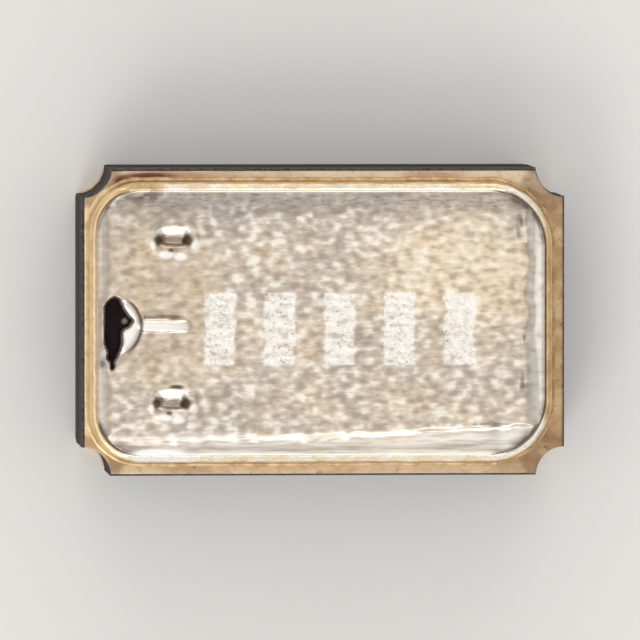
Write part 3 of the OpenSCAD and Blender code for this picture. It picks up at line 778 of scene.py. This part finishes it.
# Outline of the vent where it melted through
VENT_OUTLINE = [(0.073, 0.118), (0.105, 0.113), (0.114, 0.082), (0.128, 0.055), (0.141, 0.037),
                (0.165, 0.018), (0.157, 0.000), (0.141, -0.018), (0.117, -0.027), (0.111, -0.054),
                (0.117, -0.086), (0.110, -0.108), (0.100, -0.131), (0.087, -0.158), (0.077, -0.176),
                (0.082, -0.196), (0.070, -0.218), (0.060, -0.206), (0.060, -0.180), (0.043, -0.168),
                (0.047, -0.150), (0.050, -0.124), (0.036, -0.108), (0.032, -0.060), (0.033, 0.014),
                (0.035, 0.077), (0.051, 0.102)]


def vent_gap(from_left, y):
    """Distance out from the vent's outline, whose corners are cut twice. It is negative inside."""
    line = np.array(VENT_OUTLINE)
    for cut in range(2):
        ahead = np.roll(line, -1, 0)
        line = np.stack([0.75 * line + 0.25 * ahead, 0.25 * line + 0.75 * ahead], 1).reshape(-1, 2)
    far, inside = np.full(y.shape, 9.0), np.zeros(y.shape, bool)
    for start, end in zip(line, np.roll(line, -1, 0)):
        run, rise = end - start
        t = np.clip(((from_left - start[0]) * run + (y - start[1]) * rise) / (run ** 2 + rise ** 2), 0, 1)
        far = np.minimum(far, np.hypot(from_left - start[0] - t * run, y - start[1] - t * rise))
        crossed = (start[1] > y) != (end[1] > y)
        inside ^= crossed & (from_left < start[0] + (y - start[1]) * run / (rise or 1))
    return np.where(inside, -far, far)


def spot(x, y, centre, reach, inner=0.4):
    """Soft spot: 1 in its middle, 0 past the reach, which may differ along x and y."""
    reach_x, reach_y = np.broadcast_to(reach, 2)
    far = np.hypot((x - centre[0]) / reach_x, (y - centre[1]) / reach_y)
    return eased((1 - far) / (1 - inner))


def vent_relief(from_left, y):
    """Distance out from the crater's wall, and shares of the bead on its right and of the moat round that."""
    rough = 0.0025 * wander(from_left, y, 0.022, 46)
    gap = vent_gap(from_left, y) + rough
    outer = np.hypot(from_left - BEAD_CENTRE[0], y - BEAD_CENTRE[1]) - BEAD_R + 0.5 * rough
    width = np.maximum(gap - outer, 1e-4)
    across = np.clip((gap + 0.004) / (width + 0.004), 0, 1)
    right = eased((from_left - 0.080) / 0.035)
    bead = np.sqrt(4 * across * (1 - across)) * eased(width / 0.035) * right * (outer < 0)
    moat = np.exp(-((outer - 0.006) / 0.008) ** 2) * right * eased((from_left - 0.12) / 0.05)
    return gap, bead, moat


# Punch mark, from its middle: spots of painted highlight and of painted shade, each with its centre and its
# reach
MARK_HIGHLIGHTS = [((-0.092, -0.035), (0.018, 0.025)), ((0.100, -0.036), (0.024, 0.030)),
               ((-0.030, -0.079), (0.046, 0.026)), ((0.030, -0.088), (0.046, 0.022))]
MARK_SHADES = [((-0.068, -0.016), (0.030, 0.034)), ((0.064, -0.014), (0.036, 0.034)),
                 ((-0.010, -0.060), (0.018, 0.014))]


def punch_mark(x, y, rim_share):
    """Relief of a punch mark, whose far wall lies flatter, and its shares of painted highlight and painted
    shade.
    """
    x = x + 0.005 * wander(x, y, 0.03, 50)
    y = y + 0.003 * wander(x, y, 0.04, 49)
    half_l, half_w = MARK_SIZE / 2
    arch = np.sqrt(np.clip(1 - (x / (half_l + 0.004)) ** 2, 0, 1))
    far_wall = np.clip((half_w - 0.014 * (1 - arch) - y) / 0.048, 0, 1)
    near_wall = eased((y + half_w - 0.012 * (1 - arch)) / 0.026)
    pit = far_wall * near_wall * eased((half_l - abs(x)) / 0.040)
    edge = np.hypot(*np.maximum([abs(x) - half_l + 0.04, abs(y) - half_w + 0.04], 0)) - 0.04
    lip = eased(1 - abs(edge - LIP_W / 2) / (LIP_W / 2))
    # The far wall's band and the listed bright spots are painted highlights. The pit's floor, the far rim and
    # the listed dark spots are painted shade.
    wall = eased((0.025 * arch - abs(y - 0.031 + 0.01 * (1 - arch))) / 0.010)
    bright = np.maximum.reduce([wall] + [spot(x, y, *place) for place in MARK_HIGHLIGHTS])
    foot = eased((0.084 - abs(x)) / 0.03) * eased((0.026 - abs(y + 0.016)) / 0.014) * 0.42
    rim = spot(x, y, (0.022, 0.060), (0.048, 0.015))
    mark_shade = np.maximum.reduce([foot, rim_share * rim] + [spot(x, y, *place) for place in MARK_SHADES])
    return LIP_H * lip - MARK_D * pit, bright, mark_shade * (1 - wall)


def vent_rib(x, y):
    """Shares of the rib that leads away from the vent, and of the low strip on its +Y side."""
    from_left = x + lid_l / 2
    past = np.maximum(from_left - RIB_X[1], 0) + np.maximum(RIB_X[0] - from_left, 0)
    off = np.hypot(past, y - RIB_Y) + 0.004 * wander(x, y, (0.05, 0.03), 47)
    rib = eased((RIB_HALF - off) / (RIB_HALF * 0.55)) * (1 - 0.5 * eased((from_left - 0.32) / 0.12))
    beside = np.exp(-((off - RIB_HALF - 0.010) / 0.009) ** 2) * (y > RIB_Y) * (past < 0.001)
    return rib, beside


def frosted_bars(x, y):
    """Share of the frosting: plain bars with ragged long sides, whose texture runs in streaks."""
    frost = np.zeros_like(x)
    for bar in range(FROST_COUNT):
        bar_x = x + lid_l / 2 - FROST_X - bar * FROST_PITCH + 0.006 * wander(y, y * 0 + bar, 0.04, 51)
        wide = eased((FROST_W / 2 - abs(bar_x) + 0.008 * wander(x, y, 0.02, 52)) / 0.012)
        tall = eased((FROST_TALL / 2 - abs(y - FROST_Y)) / 0.012)
        frost = np.maximum(frost, wide * tall)
    line = 0.5 + 0.5 * np.cos(2 * math.pi * (y / STREAK_PITCH + 0.45 * wander(x, y, (0.10, 0.05), 53)))
    return frost * (0.70 + 0.30 * line) * eased(1.05 + 0.8 * wander(x, y, (0.030, 0.018), 54))


# Centre and reach of spots: the drop beside the vent and its scorched foot, the gap in the soot, painted
# shadow along stretches of the lid's edge, painted shade in creases beside the far track, a smudge, and
# splashes of painted highlight
DROP, DROP_FOOT = ((0.030, -0.138), (0.020, 0.021)), ((0.026, -0.184), (0.018, 0.022))
SOOT_GAP = ((0.128, 0.009), 0.018)
EDGE_SHADOWS = [((1.925, 0.550), 0.085), ((1.915, -0.520), 0.075), ((0.10, -0.57), (0.11, 0.05))]
CREASE_SHADES = [((1.918, 0.435), (0.024, 0.075)), ((1.930, -0.29), (0.014, 0.09)), ((1.938, -0.05), (0.010, 0.05)),
           ((1.79, -0.462), (0.11, 0.012))]
SMUDGE = ((0.20, 0.580), (0.17, 0.045))
SPLASHES = [((0.068, 0.543), (0.026, 0.020)), ((0.28, -0.60), (0.15, 0.035), 0.7)]
# Painted highlight of a facet at a far corner, placed from the lid's centre
FACET = ((0.865, -0.52), (0.075, 0.12))


def edge_marks(x, y, inset):
    """Shares near the lid's edge of weld metal, of dark dots and painted shade, and of painted shadow,
    painted shade in creases and a smudge.
    """
    from_left = x + lid_l / 2
    long_side = eased((abs(y) - lid_w / 2 + 0.09) / 0.03)
    weld = eased(1.2 - inset / 0.014) * long_side
    # Painted shade: a dark band between the bottom track and the edge. Dark dots along the +Y edge.
    grime_and_shade = np.exp(-((inset - 0.036) / 0.014) ** 2) * (y < 0) * long_side
    grime_and_shade = grime_and_shade * (0.65 + 0.35 * wander(x, y, (0.2, 0.05), 56))
    dots = np.exp(-((inset - 0.012) / 0.012) ** 2) * (y > 0) * long_side
    grime_and_shade = np.maximum(grime_and_shade, dots * eased(2.5 * wander(x, y, (0.05, 0.03), 59) - 0.4))
    lid_r = lid_corner_r(x)
    at_corner = eased((lid_r - lid_l / 2 + abs(x)) / 0.05) * eased((lid_r - lid_w / 2 + abs(y)) / 0.05)
    # Painted shadow along the lid's edge, round the corners and on the listed stretches.
    edge_shadow = np.exp(-(inset / 0.016) ** 2) * at_corner * eased(0.75 + 0.9 * wander(x, y, 0.05, 57))
    for place in EDGE_SHADOWS:
        edge_shadow = np.maximum(edge_shadow, np.exp(-(inset / 0.030) ** 2) * spot(from_left, y, *place))
    # Painted shade along the creases beside the far track and above the bottom track.
    crease_shade = np.maximum.reduce([spot(from_left, y, *place) for place in CREASE_SHADES])
    crease_shade = crease_shade * eased(0.6 + 0.8 * wander(x, y, (0.02, 0.05), 58))
    smudge = spot(from_left, y, *SMUDGE) * eased(0.2 + 2.2 * wander(x, y, (0.03, 0.02), 60))
    return weld, grime_and_shade, np.maximum.reduce([edge_shadow, 0.75 * crease_shade, 0.6 * smudge])


def painted_highlight_spots(x, y):
    """Painted highlights away from the vent: splashes, a facet, and a glint along the far end."""
    splash = np.maximum.reduce([spot(x + lid_l / 2, y, *place) for place in SPLASHES])
    glint = np.exp(-((lid_l / 2 - x - 0.026) / 0.012) ** 2) * eased((0.44 - abs(y)) / 0.1)
    glint = glint * (0.6 + 0.4 * wander(x, y, (0.1, 0.12), 62))
    return np.maximum.reduce([splash, 0.45 * spot(x, y, *FACET), 0.5 * glint])


def lid_relief(x, y):
    """Height of the lid's top over its flat level, and the marks that its finish reads."""
    from_left = x + lid_l / 2
    bottom, top, left, right = roller_tracks(x, y)
    fall = np.maximum(bottom, top) ** TRACK_BLEND + np.maximum(left, right) ** TRACK_BLEND
    height = -TRACK_DROP * np.minimum(fall ** (1 / TRACK_BLEND), TRACK_MOST)
    # The sunny bottom track and the shady top track are painted in light and in shade by the finish.
    sunny, shady = eased(bottom * 2.2), eased(top * 1.5)
    end_track = eased(np.maximum(left, right) * 1.6)

    height = height + WAVE_H * wander(x, y, (0.26, 0.2), 44) + FINE_WAVE_H * wander(x, y, (0.09, 0.05), 45)
    height = height - SAG * eased(1 - (x / 0.8) ** 2) * eased(1 - (y / 0.45) ** 2)

    gap, bead, moat = vent_relief(from_left, y)
    inside = eased((0.006 - gap) / 0.016) * (0.45 + 0.55 * eased((y + 0.19) / 0.05))
    height = height * eased(0.2 + gap / 0.05) + BEAD_H * bead - MOAT_D * moat
    height = height * (1 - inside) - VENT_D * inside + VENT_LUMP_H * inside * wander(x, y, 0.018, 48)
    soot = eased((0.002 - gap) / 0.006) * (1 - 0.45 * spot(from_left, y, *SOOT_GAP))
    # The bead and the drop are molten metal, painted near white as a highlight.
    melted = np.maximum(eased(bead * 2.5), spot(from_left, y, *DROP)) * (1 - soot)
    scorch_and_shade = np.maximum(moat, 0.6 * spot(from_left, y, *DROP_FOOT))

    rib, beside = vent_rib(x, y)
    height = height + RIB_H * rib - RIB_MOAT_D * beside
    # Painted shade on the low strip beside the rib.
    scorch_and_shade = np.maximum(scorch_and_shade, 0.8 * beside * eased((0.42 - from_left) / 0.06))
    # Painted highlight along the rib.
    melted = np.maximum(melted, rib * 0.95)

    for (mark_x, mark_y), rim_share in MARKS:
        # Each punch mark brings painted highlights and painted shade.
        relief, bright, mark_shade = punch_mark(from_left - mark_x, y - mark_y, rim_share)
        height = height + relief
        melted = np.maximum(melted, bright)
        scorch_and_shade = np.maximum(scorch_and_shade, mark_shade * (1 - bright))

    frost = frosted_bars(x, y)
    height = height - FROST_D * frost + FROST_GRAIN_H * frost * wander(x, y, 0.012, 55)

    inset = inset_from_edge(x, y)
    height = height - EDGE_R + np.sqrt(np.maximum(EDGE_R ** 2 - np.maximum(EDGE_R - inset, 0) ** 2, 0))
    weld, grime_and_shade, edge_shade_and_smudge = edge_marks(x, y, inset)
    marks = {"track": sunny, "shady_track": shady, "end_track": end_track * (1 - np.maximum(sunny, shady)),
             "soot": soot, "scorch_and_shade": np.maximum(scorch_and_shade, edge_shade_and_smudge) * (1 - soot),
             "melted": np.maximum(melted, painted_highlight_spots(x, y)), "frost": frost, "weld": weld, "grime_and_shade": grime_and_shade}
    return height, marks


def lid_plate():
    """Pressed lid: roller tracks, molten vent with its bead, vent rib, punch marks and frosted bars."""
    shell = Shell()
    x, y = rounded_grid()
    height, marks = lid_relief(x, y)
    flat = np.stack([x.ravel(), y.ravel()], 1)
    base = lid_low[2]
    height = np.minimum(height, lid_high[2] - base - lid_t)
    marks = {name: mark.ravel() for name, mark in marks.items()}
    top = shell.add(flat + lid_centre, base + lid_t + height.ravel(), **marks)
    grid = top.reshape(x.shape)
    for below, above in zip(grid, grid[1:]):
        shell.strip(below, above)
    edge = np.concatenate([grid[0, :-1], grid[:-1, -1], grid[-1, :0:-1], grid[:0:-1, 0]])
    outline = flat[edge]
    straight = np.array([lid_l, lid_w]) / 2 - lid_corner_r(outline[:, :1])
    inner = np.sign(outline) * np.minimum(abs(outline), straight)
    normals = (outline - inner) / np.linalg.norm(outline - inner, axis=1, keepdims=True)
    loops = [edge]
    for inset, z in [(0.0004, base + 0.012), (0, base + 0.006), (0.003, base)]:
        loops.append(shell.add(outline - normals * inset + lid_centre, z, track=1, weld=1))
    shell.stack(loops)
    shell.cap(loops[-1])
    make_piece("lid_plate", shell, nickel, ["lid"], sharp=50)


# Solder terminals

PAD_EASE, PAD_EASE_STEPS = 0.014, 6
PAD_SOFT = 0.0035
INDEX_CHAMFER = 0.12
CLIMB_POINTS, CLIMB_RAGGED, CLIMB_STAIN = 11, 0.006, 0.2


def eased_corner(before, place, after, cut, steps):
    """Points that round a corner, or cut it straight with one step."""
    first, second = (place + cut * (end - place) / np.linalg.norm(end - place) for end in (before, after))
    share = np.linspace(0, 1, steps + 1)
    return [(1 - t) ** 2 * first + 2 * t * (1 - t) * place + t * t * second for t in share]


def drawn_in(outline, amount):
    """Closed outline moved inwards, for small amounts."""
    edge = np.roll(outline, -1, 0) - np.roll(outline, 1, 0)
    normal = np.stack([edge[:, 1], -edge[:, 0]], 1) / np.linalg.norm(edge, axis=1, keepdims=True)
    x, y = outline.T
    turning = np.sign(np.sum(x * np.roll(y, -1) - np.roll(x, -1) * y))
    return outline - normal * amount * turning


def solder_terminal(name, chamfer=0):
    """Solder pad under a corner, with the plating that climbs the castellation's wall."""
    low, high = node_box("terminal_" + name)
    side = np.sign((low + high)[:2])
    corner = side * body_size / 2
    inset = abs(corner)[0] - max(abs(low[0]), abs(high[0]))
    length, width = (high - low)[:2]
    slip = math.asin(inset / castellation_r)
    angle = np.linspace(slip, math.pi / 2 - slip, CLIMB_POINTS)
    around = np.stack([np.cos(angle), np.sin(angle)], 1)
    bite = castellation_r * around
    far_corner = np.array([inset, inset + width])
    near_corner = np.array([inset + length, inset + width])
    side_corner = np.array([inset + length, inset])
    cut, steps = (chamfer, 1) if chamfer else (PAD_EASE, PAD_EASE_STEPS)
    outline = list(bite)
    outline += eased_corner(bite[-1], far_corner, near_corner, PAD_EASE, PAD_EASE_STEPS)
    outline += eased_corner(far_corner, near_corner, side_corner, cut, steps)
    outline += eased_corner(near_corner, side_corner, bite[0], PAD_EASE, PAD_EASE_STEPS)
    outline = corner - np.array(outline) * side
    pad_t = body_low[2]
    shell = Shell()
    loops = [shell.add(drawn_in(outline, inwards), z, corner=0) for inwards, z in
             [(2 * PAD_SOFT, low[2]), (PAD_SOFT, low[2]), (0.3 * PAD_SOFT, low[2] + 0.3 * PAD_SOFT),
              (0, low[2] + PAD_SOFT), (0, pad_t)]]
    shell.stack(loops)
    shell.cap(loops[0])
    shell.cap(loops[-1])
    top = high[2] - CLIMB_RAGGED * (0.5 + 0.5 * wander(angle, 0 * angle + low[0], 0.3, 61))
    rows = []
    for depth, z in [(film_t, pad_t), (film_t, top), (0.3 * film_t, top), (0.05 * film_t, top - 0.3 * film_t),
                     (0, top - film_t), (0, 0.5 * top), (0, pad_t)]:
        rows.append(shell.add(corner - (castellation_r + depth) * around * side, z, corner=CLIMB_STAIN))
    for below, above in zip(rows, rows[1:] + rows[:1]):
        shell.strip(below, above)
    shell.cap(np.array([row[0] for row in rows]))
    shell.cap(np.array([row[-1] for row in rows]))
    make_piece("solder_terminal_" + name, shell, terminal_gold, ["terminal_" + name])


package_body()
rim_metal()
braze_round_ring()
weld_ring()
lid_plate()
solder_terminal("enable", INDEX_CHAMFER)
for name in ("ground", "output", "supply"):
    solder_terminal(name)

# Finishes of the solids by the start of their nodes' names. The pieces inside the housing keep their solids.

SOLID_FINISHES = {
    "conductor_": tungsten, "crystal_conductor_": tungsten, "crystal_pad_": pad_gold, "adhesive_dot_": glue,
    "tuning_fork": quartz, "fork_electrode_": film_gold, "tuning_weight_": film_gold,
    "oscillator_die": silicon, "die_bumps": pad_gold, "ceramic_base": ceramic,
    "seal_metallisation": rim_gold, "ring_braze": braze, "seal_ring": ring_metal, "lid": nickel,
    "terminal_": terminal_gold}
for node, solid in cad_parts.items():
    finish = next(SOLID_FINISHES[start] for start in SOLID_FINISHES if node.startswith(start))
    solid.data.materials.clear()
    solid.data.materials.append(finish)


# Studio

FLOOR_R, FLOOR_SIDES = 60, 96
FLOOR_COLOUR = (0.80, 0.79, 0.77)
LIGHTS_AIM = (0, 0, 0.8)
WARM_LIGHT, ROOM_LIGHT = (1.0, 0.985, 0.96), (1.0, 0.99, 0.975)


def studio_floor():
    """Pale disc under the part."""
    f = Finish("pale_floor")
    tone = f.mix(f.noise(6.0, 2), FLOOR_COLOUR, tuple(0.985 * c for c in FLOOR_COLOUR))
    finish = f.done(base_color=tone, roughness=0.9)
    shell = Shell()
    angle = np.linspace(0, 2 * math.pi, FLOOR_SIDES, endpoint=False)
    around = np.stack([np.cos(angle), np.sin(angle)], 1)
    rim = [shell.add(around * FLOOR_R, z) for z in (0, -1)]
    shell.skirt(*rim)
    shell.cap(rim[0])
    shell.cap(rim[1])
    floor = placed("studio_floor", shell_mesh("studio_floor", shell, finish))


def softbox(name, place, size, radiance, colour):
    """Area light of a given radiance, turned to the part and hidden from the camera."""
    light = bpy.data.lights.new(name, "AREA")
    light.shape, light.size, light.size_y = "RECTANGLE", size[0] * MM, size[1] * MM
    light.energy = radiance * math.pi * size[0] * size[1] * MM * MM
    light.color = colour
    lamp = placed(name, light)
    lamp.location = Vector(place) * MM
    lamp.rotation_mode = "QUATERNION"
    lamp.rotation_quaternion = (Vector(place) - Vector(LIGHTS_AIM)).to_track_quat("Z", "Y")
    lamp.visible_camera = False


def surroundings(colour, strength):
    """Even light from all round."""
    world = bpy.data.worlds.new("pale_room")
    world.use_nodes = True
    back = world.node_tree.nodes["Background"]
    back.inputs["Color"].default_value = (*colour, 1)
    back.inputs["Strength"].default_value = strength
    bpy.context.scene.world = world


# Where the photograph has the centre of the package's top, and how large it shows a millimetre
IMAGE_SIZE = 640
CENTRE_PIXEL = (323, 321.5)
PIXELS_PER_MM = 220
CAMERA_FAR = 60
LEAN_LEFT, LEAN_TOP = math.radians(3.5), math.radians(2.1)
SENSOR = 36
CLIP_NEAR, CLIP_FAR = 0.001, 1


def photo_camera():
    """Camera that looks down like the photograph's, with its slight lean."""
    middle = IMAGE_SIZE / 2
    off_x, off_y = middle - CENTRE_PIXEL[0], CENTRE_PIXEL[1] - middle
    aim = Vector((off_x / PIXELS_PER_MM, off_y / PIXELS_PER_MM, rim_z))
    back = Vector((-math.tan(LEAN_LEFT), math.tan(LEAN_TOP), 1)).normalized()
    across = Vector((0, 1, 0)).cross(back).normalized()
    up = back.cross(across)
    lens = bpy.data.cameras.new("photo_camera")
    lens.sensor_width = SENSOR
    lens.lens = SENSOR * CAMERA_FAR * PIXELS_PER_MM / IMAGE_SIZE
    lens.clip_start, lens.clip_end = CLIP_NEAR, CLIP_FAR
    camera = placed("photo_camera", lens)
    camera.rotation_mode = "QUATERNION"
    camera.rotation_quaternion = Matrix((across, up, back)).transposed().to_quaternion()
    camera.location = (aim + back * CAMERA_FAR) * MM
    bpy.context.scene.camera = camera


studio_floor()
softbox("key", (-14, -24, 34), (14, 12), 5.0, WARM_LIGHT)
softbox("overhead", (-6, -4, 45), (40, 50), 0.42, ROOM_LIGHT)
softbox("low_back", (0, 39, 25), (44, 11), 2.9, WARM_LIGHT)
softbox("low_front", (0, -39, 25), (44, 11), 2.6, WARM_LIGHT)
surroundings(ROOM_LIGHT, 0.64)
photo_camera()
bpy.context.scene.view_settings.view_transform = "Standard"
